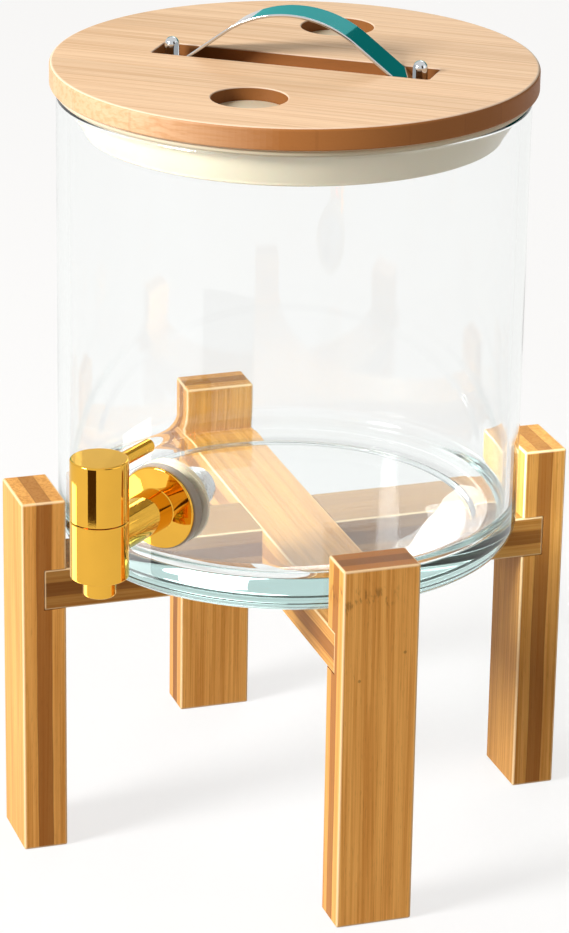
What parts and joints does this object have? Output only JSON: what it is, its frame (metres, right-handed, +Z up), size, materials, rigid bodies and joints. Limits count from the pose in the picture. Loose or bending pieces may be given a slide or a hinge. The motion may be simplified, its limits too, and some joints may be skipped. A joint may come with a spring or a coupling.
{
  "type": "beverage dispenser with stand",
  "caption": "Cylindrical glass drink jar with a quarter-turn tap and a bamboo lid with a bent steel strap, standing on crossed bars between four bamboo legs.",
  "frame": {"origin": "on the jar's axis, midway between the four legs, at the level of the feet", "axes": "+Z up; the front leg stands at -Y and the right leg at +X; the tap points between the front leg (-Y) and the left leg (-X)"},
  "size_m": [0.223, 0.223, 0.3279],
  "materials": {
    "leg_bamboo": "laminated bamboo, sanded and clear lacquered, satin",
    "lid_bamboo": "laminated bamboo board, sanded and oiled, satin",
    "clear_glass": "blown clear glass, glossy",
    "gold_plate": "polished gold plate",
    "plain_brass": "turned, unplated",
    "polished_steel": "mirror-polished stainless steel",
    "stainless_steel": "plain stainless steel",
    "cream_silicone": "moulded silicone, satin",
    "grey_silicone": "translucent moulded silicone",
    "black_rubber": "moulded rubber, matte"
  },
  "bodies": {
    "stand": {"leg_right": "leg_bamboo", "leg_back": "leg_bamboo", "leg_left": "leg_bamboo", "leg_front": "leg_bamboo", "cross_bar_side_to_side": "leg_bamboo", "cross_bar_front_to_back": "leg_bamboo"},
    "jar": {"glass_jar": "clear_glass", "tap_body": "gold_plate", "outer_washer": "grey_silicone", "inner_washer": "cream_silicone", "steel_washer": "stainless_steel", "shank_nut": "stainless_steel", "gland_ring": "plain_brass"},
    "tap_handle": {"handle_cap": "gold_plate", "lever_pin": "gold_plate", "valve_plug": "plain_brass", "plug_o_ring_lower": "black_rubber", "plug_o_ring_upper": "black_rubber"},
    "lid": {"lid_board": "lid_bamboo", "lid_seal": "cream_silicone", "strap_handle": "polished_steel", "handle_screw_left": "stainless_steel", "handle_screw_right": "stainless_steel", "handle_washer_left": "stainless_steel", "handle_washer_right": "stainless_steel", "domed_nut_left": "polished_steel", "domed_nut_right": "polished_steel"}
  },
  "joints": [
    {"name": "jar_lift", "type": "slide", "parent": "stand", "child": "jar", "axis": [0, 0, 1], "range_m": [0, 0.05]},
    {"name": "lid_lift", "type": "slide", "parent": "jar", "child": "lid", "axis": [0, 0, 1], "range_m": [0, 0.045]},
    {"name": "tap_turn", "type": "hinge", "parent": "jar", "child": "tap_handle", "pos_m": [-0.10053, -0.08616, 0.1583], "axis": [0, 0, 1], "range_deg": [0, 90]}
  ]
}
